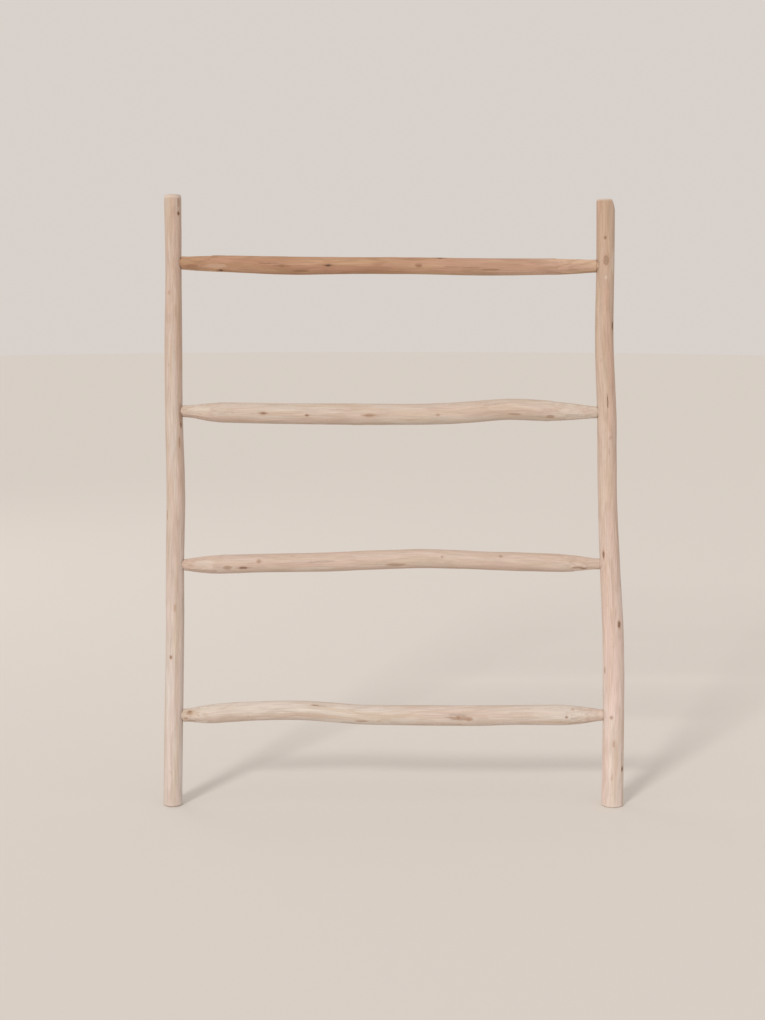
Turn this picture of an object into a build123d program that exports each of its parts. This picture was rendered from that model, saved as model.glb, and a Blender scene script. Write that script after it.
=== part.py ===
from build123d import *
import math
import os

os.makedirs("parts", exist_ok=True)

# A leaning branch ladder for hanging textiles: two natural round stiles and four whittled
# branch rungs. Each rung has a tenon in both stiles, and a hidden peg locks each tenon.
# Millimetres and degrees. X runs along the rungs, +Y points at the wall, +Z is up. The
# origin is on the floor, in the middle of the ladder's outer box.

# ---- the ladder as a whole ----
lean_angle = 8.8            # lean of the stiles back against the wall
stile_length = 1515         # left stile, from the floor to its tip along the stile
right_stile_shortfall = 10  # the right stile is sawn off this much lower
stile_spacing = 1078        # between the straight centre lines of the two stiles
middle_offset = -7          # of those two lines from the middle of the outer box
foot_setback = 116.7        # of the stiles' feet from the middle of the outer box
first_rung_height = 223     # along the stile, from the floor
top_overhang = 170          # stile left standing above the top rung

# ---- the stiles ----
left_stile_diameter = 44
right_stile_diameter = 49
tip_rounding = 4            # worn edge round the sawn tip
foot_rounding = 3           # worn edge round the foot
foot_trim = 20              # length sawn away to make the foot level with the floor

# Natural bends: (rung spaces above the bottom rung, sideways, back, extra diameter).
left_stile_bends = [
    (0, 0, 0, 2),
    (0.5, 3, -2, 1),
    (1, 3, -4, 1),
    (1.5, 5, -3, 2),
    (2, 0, 0, 0),
    (2.5, -1, 0, -1),
    (3, -1, -3, -4),
]
left_stile_foot = (-3, 2, 2)
left_stile_tip = (-3, -7, -1)
right_stile_bends = [
    (0, 14, -1, 4),
    (0.5, 13, -3, 3),
    (1, 5, -3, 1),
    (1.5, -1, 0, -2),
    (2, -2, 4, -1),
    (2.5, -8, 5, -3),
    (3, -5, 6, -4),
]
right_stile_foot = (11, 1, 5)
right_stile_tip = (-4, 7, -3)

# ---- the rungs, from the bottom up ----
# ends:    how far each end sits above (+) or below (-) the even spacing, left then right
# necks:   how much wider than its tenon each end is where it meets the stile
# whittle: length that is whittled down at each end
# thin:    diameter half way along the whittled ends
# bends:   (share of the unwhittled length, rise, back, extra diameter)
rungs = {
    "bottom_rung": dict(
        diameter=49, ends=(0, 1), necks=(7, 2), whittle=(70, 105), thin=(40, 42),
        bends=[
            (0, 4, 0, -2), (0.12, 10, 2, -2), (0.24, 12, 4, -1), (0.33, 8, 3, 0),
            (0.42, 2, 1, 0), (0.55, 0, -2, 1), (0.76, -1, -3, 2), (0.87, 0, 0, 0), (1, 0, 1, 1),
        ],
    ),
    "lower_rung": dict(
        diameter=46, ends=(0, 2), necks=(2, 1.5), whittle=(70, 100), thin=(37.5, 37),
        bends=[
            (0, 1, 0, -1), (0.15, 4, -3, 0), (0.30, 6, -5, 1), (0.43, 10, -4, 1),
            (0.53, 13, -1, 1), (0.61, 14, 1, 1), (0.70, 12, 2, -1), (0.85, 7, 1, -1),
            (1, 3, 0, -2),
        ],
    ),
    "upper_rung": dict(
        diameter=52, ends=(8, 5), necks=(6.5, 4), whittle=(95, 115), thin=(39, 41),
        bends=[
            (0, -3, 0, -3), (0.14, -5, 3, -1), (0.42, -6, 6, 1), (0.60, -6, 4, 0),
            (0.70, -3, 2, 1), (0.79, 2, 0, 1), (0.87, 7, -1, 0), (0.93, 6, -1, 1), (1, 3, 0, -2),
        ],
    ),
    "top_rung": dict(
        diameter=42, ends=(2, -5), necks=(7, 7), whittle=(95, 105), thin=(37, 36.5),
        bends=[
            (0, -1, 0, -2), (0.10, -3, 0, 1), (0.23, -5, -2, 3), (0.36, -4, -3, 0),
            (0.55, -3, -3, -1), (0.80, -4, 0, 1), (1, -2, 0, -2),
        ],
    ),
}
shoulder_gap = 0.5          # between a rung's shoulder and the round face of the stile

# ---- the joints ----
tenon_diameter = 25
tenon_clearance = 0.15      # all round the tenon
wall_behind_mortise = 13    # wood left between the blind mortise and the stile's outer face
tenon_end_gap = 1.0         # between the tenon's end and the bottom of the mortise
peg_diameter = 6
peg_clearance = 0.05        # all round the peg
peg_wall = 8                # wood left in front of the blind peg hole
peg_end_gap = 0.5           # at the bottom of the peg hole
peg_inset = 0.5             # peg's outer end below the back of the stile
peg_chamfer = 0.6

# ---- worked out from the values above ----
section_pitch = 45          # largest distance between the sections that a limb is lofted through
rung_spacing = (stile_length - first_rung_height - top_overhang) / (len(rungs) - 1)
up_stile = Vector(0, math.sin(math.radians(lean_angle)), math.cos(math.radians(lean_angle)))
to_back = Vector(0, math.cos(math.radians(lean_angle)), -math.sin(math.radians(lean_angle)))
across = Vector(1, 0, 0)
foot_middle = Vector(middle_offset, -foot_setback, 0)


def ladder_point(x, height, back):
    """A point given along the rungs, up the stiles and square to both, towards the wall."""
    return foot_middle + across * x + up_stile * height + to_back * back


def stile_stations(side, diameter, length, foot, bends, tip):
    """(height, x, back, diameter) at the foot, at each bend and at the tip of a stile."""
    line = side * stile_spacing / 2
    stations = [(-foot_trim, line + foot[0], foot[1], diameter + foot[2])]
    for spaces, sideways, back, extra in bends:
        height = first_rung_height + spaces * rung_spacing
        stations.append((height, line + sideways, back, diameter + extra))
    stations.append((length, line + tip[0], tip[1], diameter + tip[2]))
    return stations


def limb_at(stations, place):
    """The values at any place along a limb, on a smooth curve through its stations."""
    last = len(stations) - 1
    number = max(i for i in range(last) if stations[i][0] <= place or i == 0)
    near, far = stations[number], stations[number + 1]
    before, after = stations[max(number - 1, 0)], stations[min(number + 2, last)]
    span = far[0] - near[0]
    share = (place - near[0]) / span
    values = []
    for b, n, f, a in zip(before[1:], near[1:], far[1:], after[1:]):
        near_slope = span * (f - b) / (far[0] - before[0])
        far_slope = span * (a - n) / (after[0] - near[0])
        values.append(
            n + (f - n) * share**2 * (3 - 2 * share)
            + near_slope * share * (1 - share) ** 2 - far_slope * share**2 * (1 - share)
        )
    return values


def even_sections(stations):
    """[place, values...] at even steps from one end of a limb to the other."""
    start, end = stations[0][0], stations[-1][0]
    steps = math.ceil((end - start) / section_pitch)
    places = [start + (end - start) * step / steps for step in range(steps + 1)]
    return [[place, *limb_at(stations, place)] for place in places]


left_stations = stile_stations(
    -1, left_stile_diameter, stile_length, left_stile_foot, left_stile_bends, left_stile_tip
)
right_stations = stile_stations(
    1, right_stile_diameter, stile_length - right_stile_shortfall,
    right_stile_foot, right_stile_bends, right_stile_tip,
)


def tenon_joint(stations, side, height):
    """Where a rung meets a stile: the stile's axis, its inner face, the mortise's bottom."""
    x, back, diameter = limb_at(stations, height)
    return dict(
        side=side, height=height, x=x, back=back, radius=diameter / 2,
        shoulder=x - side * (diameter / 2 + shoulder_gap),
        bottom=x + side * (diameter / 2 - wall_behind_mortise),
    )


joints = {}
for number, (name, rung) in enumerate(rungs.items()):
    even_height = first_rung_height + number * rung_spacing
    joints[name] = {
        "left": tenon_joint(left_stations, -1, even_height + rung["ends"][0]),
        "right": tenon_joint(right_stations, 1, even_height + rung["ends"][1]),
    }


def mortise_bottom(joint):
    """Plane at the blind end of the mortise, facing out of its mouth."""
    origin = ladder_point(joint["bottom"], joint["height"], joint["back"])
    return Plane(origin=origin, x_dir=up_stile, z_dir=across * -joint["side"])


def peg_hole_bottom(joint):
    """Plane at the blind end of the peg hole, facing the back of the stile."""
    origin = ladder_point(joint["x"], joint["height"], joint["back"] - joint["radius"] + peg_wall)
    return Plane(origin=origin, x_dir=across, z_dir=to_back)


def make_stile(name, stations, side):
    with BuildPart() as stile:
        for height, x, back, diameter in even_sections(stations):
            origin = ladder_point(x, height, back)
            with BuildSketch(Plane(origin=origin, x_dir=across, z_dir=up_stile)):
                Circle(diameter / 2)
        loft()
        split(bisect_by=Plane.XY, keep=Keep.TOP)
        fillet(stile.faces().sort_by(Axis.Z)[-1].edges(), tip_rounding)
        fillet(stile.faces().sort_by(Axis.Z)[0].edges(), foot_rounding)
        for rung in rungs:
            joint = joints[rung][side]
            with BuildSketch(mortise_bottom(joint)):
                Circle(tenon_diameter / 2 + tenon_clearance)
            extrude(amount=3 * joint["radius"], mode=Mode.SUBTRACT)
            with BuildSketch(peg_hole_bottom(joint)):
                Circle(peg_diameter / 2 + peg_clearance)
            extrude(amount=3 * joint["radius"], mode=Mode.SUBTRACT)
    stile.part.label = name
    export_step(stile.part, f"parts/{name}.step")


def rung_stations(rung, left, right):
    """(x, height, back, diameter) at the shoulders and bends of a rung."""
    start = left["shoulder"] + rung["whittle"][0]
    end = right["shoulder"] - rung["whittle"][1]

    def on_line(x, rise, bow, diameter):
        share = (x - left["shoulder"]) / (right["shoulder"] - left["shoulder"])
        height = left["height"] + share * (right["height"] - left["height"])
        back = left["back"] + share * (right["back"] - left["back"])
        return (x, height + rise, back + bow, diameter)

    body = [
        on_line(start + share * (end - start), rise, bow, rung["diameter"] + extra)
        for share, rise, bow, extra in rung["bends"]
    ]
    first_rise, last_rise = rung["bends"][0][1] / 2, rung["bends"][-1][1] / 2
    return [
        on_line(left["shoulder"], 0, 0, tenon_diameter + rung["necks"][0]),
        on_line((left["shoulder"] + start) / 2, first_rise, 0, rung["thin"][0]),
        *body,
        on_line((right["shoulder"] + end) / 2, last_rise, 0, rung["thin"][1]),
        on_line(right["shoulder"], 0, 0, tenon_diameter + rung["necks"][1]),
    ]


def make_rung(name, rung, left, right):
    with BuildPart() as limb:
        for x, height, back, diameter in even_sections(rung_stations(rung, left, right)):
            with BuildSketch(Plane(ladder_point(x, height, back), x_dir=up_stile, z_dir=across)):
                Circle(diameter / 2)
        loft()
        for joint in (left, right):
            tenon_tip = mortise_bottom(joint).offset(tenon_end_gap)
            tenon_length = abs(joint["shoulder"] - joint["bottom"]) - tenon_end_gap
            with BuildSketch(tenon_tip):
                Circle(tenon_diameter / 2)
            extrude(amount=tenon_length)
            with BuildSketch(peg_hole_bottom(joint)):
                Circle(peg_diameter / 2 + peg_clearance)
            extrude(amount=3 * joint["radius"], mode=Mode.SUBTRACT)
    limb.part.label = name
    export_step(limb.part, f"parts/{name}.step")


def make_peg(name, joint):
    with BuildPart() as peg:
        with BuildSketch(peg_hole_bottom(joint).offset(peg_end_gap)):
            Circle(peg_diameter / 2)
        extrude(amount=2 * joint["radius"] - peg_wall - peg_end_gap - peg_inset)
        chamfer(peg.edges(), peg_chamfer)
    peg.part.label = name
    export_step(peg.part, f"parts/{name}.step")


make_stile("left_stile", left_stations, "left")
make_stile("right_stile", right_stations, "right")
for name, rung in rungs.items():
    make_rung(name, rung, joints[name]["left"], joints[name]["right"])
    for side, joint in joints[name].items():
        make_peg(f"{name}_{side}_peg", joint)
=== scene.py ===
import math
import time

import bmesh
import bpy
import numpy as np
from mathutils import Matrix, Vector
from mathutils.bvhtree import BVHTree


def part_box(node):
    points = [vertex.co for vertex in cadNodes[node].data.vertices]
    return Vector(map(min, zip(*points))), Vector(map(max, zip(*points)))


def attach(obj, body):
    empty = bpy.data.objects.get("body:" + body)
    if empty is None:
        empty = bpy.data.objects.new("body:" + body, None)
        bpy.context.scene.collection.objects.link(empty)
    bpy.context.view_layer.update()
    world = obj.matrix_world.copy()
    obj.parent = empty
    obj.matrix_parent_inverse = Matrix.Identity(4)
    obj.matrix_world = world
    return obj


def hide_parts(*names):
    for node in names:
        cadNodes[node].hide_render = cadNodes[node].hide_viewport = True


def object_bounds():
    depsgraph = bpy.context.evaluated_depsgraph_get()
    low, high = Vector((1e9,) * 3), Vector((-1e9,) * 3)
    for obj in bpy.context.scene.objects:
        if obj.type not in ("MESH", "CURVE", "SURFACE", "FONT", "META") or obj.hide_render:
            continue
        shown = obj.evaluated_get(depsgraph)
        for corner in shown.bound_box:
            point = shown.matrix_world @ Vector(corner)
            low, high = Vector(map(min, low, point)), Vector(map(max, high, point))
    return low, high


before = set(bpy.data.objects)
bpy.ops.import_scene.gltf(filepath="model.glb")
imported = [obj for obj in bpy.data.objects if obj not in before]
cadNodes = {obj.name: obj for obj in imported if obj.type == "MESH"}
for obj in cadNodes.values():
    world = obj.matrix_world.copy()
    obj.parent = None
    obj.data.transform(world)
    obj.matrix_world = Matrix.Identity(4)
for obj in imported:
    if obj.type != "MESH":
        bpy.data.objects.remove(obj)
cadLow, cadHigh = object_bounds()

# Looks for a leaning branch ladder: two natural stiles, four whittled rungs, eight locking pegs.
# Each limb is a fine closed mesh laid along the centre line of its CAD solid, then bored for its
# joints. Angles round a limb start on its first side (to the right on a stile, up on a rung) and
# pass the room side at 90 degrees.

startTime = time.time()
scene = bpy.context.scene


def report(stage):
    print(f"{time.time() - startTime:6.1f} s  {stage}")


report("frame loaded")


def pointsOf(node):
    mesh = cadNodes[node].data
    points = np.empty(len(mesh.vertices) * 3)
    mesh.vertices.foreach_get("co", points)
    return points.reshape(-1, 3)


def longestWay(node):
    points = pointsOf(node)
    return np.linalg.svd(points - points.mean(0), full_matrices=False)[2][0]


# the ladder's own directions, and where it stands
toRight = np.array([1.0, 0.0, 0.0])
toWall = longestWay("top_rung_left_peg")  # the pegs run square to the plane of the ladder
toWall = toWall * np.sign(toWall[1])
upStile = np.cross(toRight, toWall)
toRoom = -toWall
footMiddle = 0.0254  # metres from the front of the left foot to the line of the feet
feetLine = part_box("left_stile")[0].y + footMiddle
ladderOrigin = np.array([0.0, feetLine, 0.0])


room = {
    "eyeHeight": 1.545,      # metres above the floor
    "standBack": 5.248,      # from the line of the feet
    "sideStep": -0.0276,     # left of the ladder's middle
    "lookDown": 8.71,        # degrees
    "lens": 76.94,           # millimetres, on a sensor of that width
    "sensor": 36,
    "background": (0.69, 0.64, 0.60),
    "floorColour": (0.74, 0.71, 0.675),
    "floorRadius": 14,
    "floorRoughness": 0.9,
    "keyTurn": 26,           # degrees left of straight ahead
    "keyRise": 29,           # degrees above level
    "keySpread": 11,         # degrees across, so the shadows stay soft
    "keyAway": 5,
    "keyPower": 1.45,
    "keyColour": (1, 0.965, 0.93),
    "fillPlace": (-3.0, 3.4, 2.6),
    "fillSize": 2.2,
    "fillPower": 14,
    "fillColour": (1, 0.96, 0.92),
}


def hangLight(name, kind, place, power, colour):
    lamp = bpy.data.lights.new(name, kind)
    lamp.energy = power
    lamp.color = colour
    light = bpy.data.objects.new(name, lamp)
    light.location = place
    middle = (cadLow + cadHigh) / 2
    light.rotation_euler = (middle - Vector(place)).to_track_quat("-Z", "Y").to_euler()
    scene.collection.objects.link(light)
    return lamp


def setUpRoom():
    cameraData = bpy.data.cameras.new("roomCamera")
    cameraData.lens = room["lens"]
    cameraData.sensor_width = room["sensor"]
    camera = bpy.data.objects.new("roomCamera", cameraData)
    camera.location = (room["sideStep"], feetLine - room["standBack"], room["eyeHeight"])
    camera.rotation_euler = (math.radians(90 - room["lookDown"]), 0, 0)
    scene.collection.objects.link(camera)
    scene.camera = camera

    turn = math.radians(room["keyTurn"])
    rise = math.radians(room["keyRise"])
    towards = Vector((-math.sin(turn) * math.cos(rise), -math.cos(turn) * math.cos(rise), math.sin(rise)))
    place = (cadLow + cadHigh) / 2 + towards * room["keyAway"]
    window = hangLight("windowLight", "SUN", place, room["keyPower"], room["keyColour"])
    window.angle = math.radians(room["keySpread"])
    fill = hangLight("fillLight", "AREA", room["fillPlace"], room["fillPower"], room["fillColour"])
    fill.size = room["fillSize"]

    world = bpy.data.worlds.new("paleRoom")
    world.use_nodes = True
    background = world.node_tree.nodes["Background"]
    background.inputs["Color"].default_value = (*room["background"], 1)
    scene.world = world
    scene.view_settings.view_transform = "Standard"

    mesh = bpy.data.meshes.new("floor")
    builder = bmesh.new()
    bmesh.ops.create_circle(builder, cap_ends=True, segments=96, radius=room["floorRadius"])
    builder.to_mesh(mesh)
    builder.free()
    floor = bpy.data.objects.new("floor", mesh)
    paint = bpy.data.materials.new("paleFloor")
    paint.use_nodes = True
    shader = paint.node_tree.nodes["Principled BSDF"]
    shader.inputs["Base Color"].default_value = (*room["floorColour"], 1)
    shader.inputs["Roughness"].default_value = room["floorRoughness"]
    mesh.materials.append(paint)
    scene.collection.objects.link(floor)


setUpRoom()
report("camera, lights and floor")


def addNode(tree, kind, values=None, **settings):
    made = tree.nodes.new(kind)
    for key, value in settings.items():
        setattr(made, key, value)
    for socket, value in (values or {}).items():
        if isinstance(value, bpy.types.NodeSocket):
            tree.links.new(value, made.inputs[socket])
        else:
            made.inputs[socket].default_value = value
    return made


def mathNode(tree, operation, first, second=0.0):
    return addNode(tree, "ShaderNodeMath", {0: first, 1: second}, operation=operation).outputs[0]


def blendColours(tree, amount, under, over, mode="MIX"):
    values = {0: amount, 6: under, 7: over}
    return addNode(tree, "ShaderNodeMix", values, data_type="RGBA", blend_type=mode).outputs[2]


def between(tree, value, low, high, toLow=0.0, toHigh=1.0):
    values = {0: value, 1: low, 2: high, 3: toLow, 4: toHigh}
    return addNode(tree, "ShaderNodeMapRange", values, interpolation_type="SMOOTHSTEP").outputs[0]


grain = {
    # cells per metre along the limb and across it, detail, roughness, and a shift of its own
    "broad": (3.0, 42, 3, 0.5, 0),
    "sallow": (4.5, 55, 3, 0.5, 1),
    "tan": (5.5, 75, 4, 0.5, 3),
    "waver": (4.0, 26, 2, 0.5, 7),
    "fibre": (16, 620, 5, 0.62, 11),
    "pore": (130, 1500, 2, 0.5, 17),
    "scrap": (20, 60, 5, 0.6, 23),
    "ragged": (45, 330, 4, 0.6, 31),
    "speck": (900, 900, 3, 0.5, 5),
    "ruffle": (130, 230, 4, 0.65, 29),
}


def grainNoise(tree, place, kind, woodShift):
    alongCells, acrossCells, detail, roughness, ownShift = grain[kind]
    shift = woodShift + ownShift
    stretched = addNode(tree, "ShaderNodeMapping", {
        "Vector": place, "Scale": (alongCells, acrossCells, acrossCells),
        "Location": (shift, shift * 1.7, shift * 0.6),
    })
    values = {"Vector": stretched.outputs[0], "Scale": 1.0, "Detail": detail, "Roughness": roughness}
    return addNode(tree, "ShaderNodeTexNoise", values).outputs[0]


def attribute(tree, name, output="Fac"):
    return addNode(tree, "ShaderNodeAttribute", attribute_name=name).outputs[output]


def branchWood(name, tones):
    wood = bpy.data.materials.new(name)
    wood.use_nodes = True
    tree = wood.node_tree
    shader = tree.nodes["Principled BSDF"]
    shift = tones["shift"]
    place = attribute(tree, "limbPlace", "Vector")
    knotRing = attribute(tree, "knotRing")
    knotDark = attribute(tree, "knotDark")
    crackSide = attribute(tree, "crackSide")
    stain = attribute(tree, "stain")
    endGrain = attribute(tree, "endGrain")
    rimWearAndHighlight = attribute(tree, "rimWearAndHighlight")

    # broad, lazy changes of tone along the branch
    broad = grainNoise(tree, place, "broad", shift)
    colour = blendColours(tree, between(tree, broad, 0.38, 0.64), tones["pale"], tones["rosy"])
    sallow = grainNoise(tree, place, "sallow", shift)
    sallowAmount = between(tree, sallow, 0.5, 0.68, 0.0, tones["sallowAmount"])
    colour = blendColours(tree, sallowAmount, colour, tones["sallow"])
    tan = grainNoise(tree, place, "tan", shift)
    tanAmount = between(tree, tan, 0.5, 0.7, 0.0, tones["tanAmount"])
    colour = blendColours(tree, tanAmount, colour, tones["tan"])

    # growth rings that the debarked surface cuts through at a slant, as long arches
    cross = addNode(tree, "ShaderNodeSeparateXYZ", {0: place})
    across = addNode(tree, "ShaderNodeCombineXYZ", {1: cross.outputs[1], 2: cross.outputs[2]})
    depth = addNode(tree, "ShaderNodeVectorMath", {0: across.outputs[0]}, operation="LENGTH").outputs[1]
    waver = grainNoise(tree, place, "waver", shift)
    ringDepth = mathNode(tree, "ADD", depth, mathNode(tree, "MULTIPLY", waver, 0.018))
    rings = mathNode(tree, "SINE", mathNode(tree, "MULTIPLY", ringDepth, 2 * math.pi / tones["ringStep"]))
    ringLines = between(tree, rings, 0.1, 0.95, 0.0, tones["ringAmount"])
    colour = blendColours(tree, ringLines, colour, tones["ringLine"])

    # fine fibres and open pores
    fibre = grainNoise(tree, place, "fibre", shift)
    fibreTone = between(tree, fibre, 0.32, 0.68, 1 - tones["fibreAmount"], 1 + 0.4 * tones["fibreAmount"])
    grey = addNode(tree, "ShaderNodeCombineColor", {0: fibreTone, 1: fibreTone, 2: fibreTone}).outputs[0]
    colour = blendColours(tree, 1.0, colour, grey, "MULTIPLY")
    pore = grainNoise(tree, place, "pore", shift)
    pores = between(tree, pore, 0.63, 0.73, 0.0, tones["poreAmount"])
    colour = blendColours(tree, pores, colour, tones["pore"])

    # scraps of inner bark, weather marks, and darker wood round the joints that is partly painted shade
    scrap = grainNoise(tree, place, "scrap", shift)
    scraps = between(tree, scrap, 0.66, 0.73, 0.0, tones["scrapAmount"])
    colour = blendColours(tree, scraps, colour, tones["bark"])
    ragged = grainNoise(tree, place, "ragged", shift)
    stainEdge = mathNode(tree, "ADD", stain, mathNode(tree, "MULTIPLY", ragged, 1.1))
    stained = between(tree, stainEdge, 0.85, 1.45, 0.0, 0.62)
    colour = blendColours(tree, stained, colour, tones["bark"])

    # browner towards one end; on the stiles, darker towards the tip: partly painted shade for light that
    # weakens with height, partly browner wood
    ageShade = between(tree, cross.outputs[0], *tones["ageShadeSpan"])
    agedShaded = blendColours(tree, ageShade, tones["ageShadeStart"], tones["ageShadeEnd"])
    colour = blendColours(tree, 1.0, colour, agedShaded, "MULTIPLY")

    # end grain: rings round the pith, dull and saw-marked
    endRings = mathNode(tree, "SINE", mathNode(tree, "MULTIPLY", ringDepth, 2 * math.pi / 0.0021))
    endTone = between(tree, endRings, -0.6, 1.0)
    sawn = blendColours(tree, endTone, tones["endPale"], tones["endDark"])
    speck = grainNoise(tree, place, "speck", shift)
    sawn = blendColours(tree, between(tree, speck, 0.5, 0.75, 0.0, 0.5), sawn, tones["pore"])
    colour = blendColours(tree, endGrain, colour, sawn)

    # knots: a dark heart, a thin ring and a warm halo
    ruffle = grainNoise(tree, place, "ruffle", shift)
    ruffled = mathNode(tree, "MULTIPLY", mathNode(tree, "SUBTRACT", ruffle, 0.5), 1.3)
    edge = mathNode(tree, "ADD", knotRing, ruffled)
    halo = mathNode(tree, "MULTIPLY", between(tree, edge, 2.4, 0.8), 0.5)
    colour = blendColours(tree, halo, colour, tones["halo"])
    knotLine = mathNode(tree, "SINE", mathNode(tree, "ADD", mathNode(tree, "MULTIPLY", edge, 6.5), 2.0))
    lines = between(tree, knotLine, -0.3, 0.9, 0.12, 0.85)
    strength = between(tree, knotDark, 0.0, 0.8, 0.42, 1.0)
    lines = mathNode(tree, "MULTIPLY", lines, strength)
    ringed = mathNode(tree, "MULTIPLY", between(tree, edge, 1.35, 0.95), lines)
    colour = blendColours(tree, ringed, colour, tones["knot"])
    heart = mathNode(tree, "MULTIPLY", between(tree, edge, 1.1, 0.45), knotDark)
    colour = blendColours(tree, heart, colour, tones["heart"])

    # drying cracks, darkened inside: painted shade in the gap
    gap = mathNode(tree, "ABSOLUTE", crackSide)
    cracked = between(tree, gap, 1.1, 0.5, 0.0, 0.8)
    colour = blendColours(tree, cracked, colour, tones["crackShade"])

    # rubbed patches and the stiles' rims are paler: painted highlight on the bevelled tip rim, over sanded
    # wood, and rubbed wood elsewhere
    colour = blendColours(tree, mathNode(tree, "MULTIPLY", rimWearAndHighlight, 0.45), colour, tones["rubbedAndLit"])
    tree.links.new(colour, shader.inputs["Base Color"])

    roughness = between(tree, broad, 0.3, 0.7, tones["roughness"], tones["roughness"] + 0.1)
    rougher = mathNode(tree, "ADD", roughness, mathNode(tree, "MULTIPLY", endGrain, 0.1))
    tree.links.new(rougher, shader.inputs["Roughness"])
    shader.inputs["Specular IOR Level"].default_value = 0.32

    # relief: fibres, pores, ring ridges and cracks
    relief = mathNode(tree, "MULTIPLY", fibre, 0.55)
    relief = mathNode(tree, "ADD", relief, mathNode(tree, "MULTIPLY", rings, 0.06))
    relief = mathNode(tree, "SUBTRACT", relief, mathNode(tree, "MULTIPLY", pores, 0.8))
    relief = mathNode(tree, "SUBTRACT", relief, mathNode(tree, "MULTIPLY", cracked, 1.2))
    sawMarks = mathNode(tree, "MULTIPLY", mathNode(tree, "MULTIPLY", speck, endGrain), 0.8)
    relief = mathNode(tree, "ADD", relief, sawMarks)
    bump = addNode(tree, "ShaderNodeBump", {"Strength": 0.55, "Distance": 0.0006, "Height": relief})
    tree.links.new(bump.outputs[0], shader.inputs["Normal"])
    return wood


# the colours and strengths that each limb's wood starts from
paleWood = {
    "pale": (0.665, 0.565, 0.505, 1),
    "rosy": (0.635, 0.495, 0.43, 1),
    "sallow": (0.61, 0.50, 0.38, 1),
    "sallowAmount": 0.5,
    "tan": (0.55, 0.42, 0.32, 1),
    "tanAmount": 0.5,
    "ringStep": 0.0034,
    "ringLine": (0.52, 0.39, 0.295, 1),
    "ringAmount": 0.26,
    "fibreAmount": 0.16,
    "pore": (0.36, 0.25, 0.18, 1),
    "poreAmount": 0.4,
    "bark": (0.34, 0.205, 0.13, 1),
    "scrapAmount": 0.35,
    "halo": (0.48, 0.32, 0.225, 1),
    "knot": (0.27, 0.145, 0.09, 1),
    "heart": (0.085, 0.045, 0.03, 1),
    "crackShade": (0.15, 0.085, 0.055, 1),
    "endPale": (0.60, 0.50, 0.41, 1),
    "endDark": (0.42, 0.32, 0.24, 1),
    "rubbedAndLit": (0.70, 0.63, 0.56, 1),
    "ageShadeSpan": (0.0, 1.5),
    "ageShadeStart": (1, 1, 1, 1),
    "ageShadeEnd": (0.905, 0.80, 0.725, 1),
    "roughness": 0.66,
}
brownWood = dict(
    paleWood, shift=41.0, pale=(0.545, 0.34, 0.215, 1), rosy=(0.47, 0.265, 0.175, 1),
    sallow=(0.47, 0.31, 0.165, 1), tan=(0.40, 0.215, 0.12, 1), ringLine=(0.33, 0.175, 0.10, 1),
    ringAmount=0.32, rubbedAndLit=(0.62, 0.46, 0.345, 1), halo=(0.34, 0.18, 0.1, 1),
    bark=(0.26, 0.13, 0.07, 1), ageShadeSpan=(-0.1, 0.45), ageShadeEnd=(1.18, 1.34, 1.52, 1),
)
pegWood = dict(
    paleWood, shift=67.0, pale=(0.60, 0.48, 0.37, 1), rosy=(0.56, 0.43, 0.32, 1), ringStep=0.0016,
    scrapAmount=0.1,
)


surface = {
    "oval": (0.22, 3),          # metres from one rise to the next along a limb, and rises round it
    "lump": (0.075, 5),
    "ripple": (0.03, 14),
    "ridge": (0.07, 46),
    "fineRidge": (0.028, 70),
    "fineRidgeShare": 0.6,      # of the height of the larger ridges
    "swellReach": 2.2,          # in knot sizes, as the next three are
    "dishEdge": (0.35, 1.05),
    "grooveAt": 1.15,
    "grooveWidth": 0.22,
    "grooveDepth": 0.0004,      # metres, as the next one is
    "mouthSunk": 0.0003,
    "crackWaver": 0.02,         # radians
    "facetLift": 0.012,         # how far a facet's plane rises clear of the wood at its ends
    "facetDepth": 0.055,        # the most that a pared facet takes off, as a share of the radius
}


def softNoise(seed, along, around, cellLength, cellsAround):
    # smooth noise from -1 to 1 over a limb: metres along, radians around, closed around
    rows = int(2.4 / cellLength) + 4
    lattice = np.random.default_rng(seed).uniform(-1, 1, (rows, cellsAround))
    a = (along + 0.6) / cellLength
    b = (around % (2 * math.pi)) * cellsAround / (2 * math.pi)
    i = np.clip(np.floor(a).astype(int), 0, rows - 2)
    j = np.floor(b).astype(int) % cellsAround
    s, t = a - np.floor(a), b - np.floor(b)
    s, t = s * s * (3 - 2 * s), t * t * (3 - 2 * t)
    k = (j + 1) % cellsAround
    low = lattice[i, j] * (1 - t) + lattice[i, k] * t
    high = lattice[i + 1, j] * (1 - t) + lattice[i + 1, k] * t
    return low * (1 - s) + high * s


def ease(value, low, high):
    share = np.clip((value - low) / (high - low), 0, 1)
    return share * share * (3 - 2 * share)


def turnFrom(angle, centre):
    # signed angle from a centre, between -pi and pi
    return (angle - centre + math.pi) % (2 * math.pi) - math.pi


def fitCircle(points, likely):
    # centre and radius through the points that lie near the usual distance
    for _ in range(3):
        away = np.hypot(points[:, 0] - likely[0], points[:, 1] - likely[1])
        kept = points[np.abs(away - np.median(away)) < 0.0025]
        terms = np.c_[2 * kept, np.ones(len(kept))]
        answer = np.linalg.lstsq(terms, (kept**2).sum(1), rcond=None)[0]
        likely = answer[:2]
    return (*likely, math.sqrt(max(answer[2] + likely[0] ** 2 + likely[1] ** 2, 1e-8)))


def smoothRow(values, reach):
    padded = np.r_[[values[0]] * reach, values, [values[-1]] * reach]
    return np.convolve(padded, np.ones(2 * reach + 1) / (2 * reach + 1), "valid")


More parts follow.
